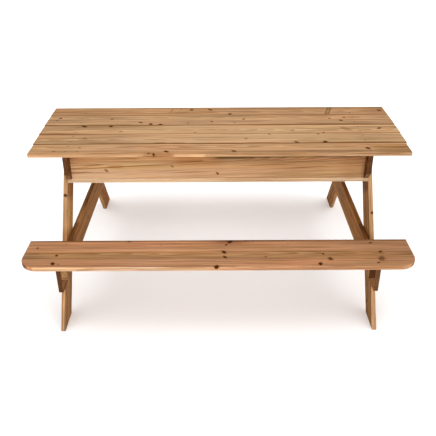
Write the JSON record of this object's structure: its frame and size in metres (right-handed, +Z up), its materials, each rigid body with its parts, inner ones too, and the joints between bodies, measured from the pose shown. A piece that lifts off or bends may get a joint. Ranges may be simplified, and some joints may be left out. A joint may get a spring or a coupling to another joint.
{
  "type": "picnic table",
  "caption": "Wooden A-frame picnic table with boarded top, rounded-corner bench on each side, leaning legs, aprons and through-bolted cross pieces.",
  "frame": {"origin": "on the ground under the middle of the tabletop", "axes": "+Z up, +X along the tabletop and seat boards, -Y towards the front bench"},
  "size_m": [1.834, 1.392, 0.766],
  "materials": {
    "tabletop_pine": "planed, impregnated pine, weathered matt",
    "seat_pine": "planed, impregnated pine, worn and darker along the heart",
    "apron_pine": "planed, impregnated pine, warm and streaky",
    "frame_pine": "planed, impregnated pine with dark end grain",
    "zinc_steel": "bright zinc plate"
  },
  "bodies": {
    "root": {"apron_front": "apron_pine", "apron_rear": "apron_pine", "carriage_bolt_seat_front_left_1": "zinc_steel", "carriage_bolt_seat_front_left_2": "zinc_steel", "carriage_bolt_seat_front_right_1": "zinc_steel", "carriage_bolt_seat_front_right_2": "zinc_steel", "carriage_bolt_seat_rear_left_1": "zinc_steel", "carriage_bolt_seat_rear_left_2": "zinc_steel", "carriage_bolt_seat_rear_right_1": "zinc_steel", "carriage_bolt_seat_rear_right_2": "zinc_steel", "carriage_bolt_top_front_left_1": "zinc_steel", "carriage_bolt_top_front_left_2": "zinc_steel", "carriage_bolt_top_front_right_1": "zinc_steel", "carriage_bolt_top_front_right_2": "zinc_steel", "carriage_bolt_top_rear_left_1": "zinc_steel", "carriage_bolt_top_rear_left_2": "zinc_steel", "carriage_bolt_top_rear_right_1": "zinc_steel", "carriage_bolt_top_rear_right_2": "zinc_steel", "flanged_nut_seat_front_left_1": "zinc_steel", "flanged_nut_seat_front_left_2": "zinc_steel", "flanged_nut_seat_front_right_1": "zinc_steel", "flanged_nut_seat_front_right_2": "zinc_steel", "flanged_nut_seat_rear_left_1": "zinc_steel", "flanged_nut_seat_rear_left_2": "zinc_steel", "flanged_nut_seat_rear_right_1": "zinc_steel", "flanged_nut_seat_rear_right_2": "zinc_steel", "flanged_nut_top_front_left_1": "zinc_steel", "flanged_nut_top_front_left_2": "zinc_steel", "flanged_nut_top_front_right_1": "zinc_steel", "flanged_nut_top_front_right_2": "zinc_steel", "flanged_nut_top_rear_left_1": "zinc_steel", "flanged_nut_top_rear_left_2": "zinc_steel", "flanged_nut_top_rear_right_1": "zinc_steel", "flanged_nut_top_rear_right_2": "zinc_steel", "leg_front_left": "frame_pine", "leg_front_right": "frame_pine", "leg_rear_left": "frame_pine", "leg_rear_right": "frame_pine", "middle_batten": "frame_pine", "seat_beam_left": "frame_pine", "seat_beam_right": "frame_pine", "seat_block_front_left": "frame_pine", "seat_block_front_right": "frame_pine", "seat_block_rear_left": "frame_pine", "seat_block_rear_right": "frame_pine", "seat_front": "seat_pine", "seat_rear": "seat_pine", "stretcher_front": "apron_pine", "stretcher_rear": "apron_pine", "tabletop_board_1": "tabletop_pine", "tabletop_board_2": "tabletop_pine", "tabletop_board_3": "tabletop_pine", "tabletop_board_4": "tabletop_pine", "tabletop_board_5": "tabletop_pine", "top_cleat_left": "frame_pine", "top_cleat_right": "frame_pine"}
  },
  "joints": []
}
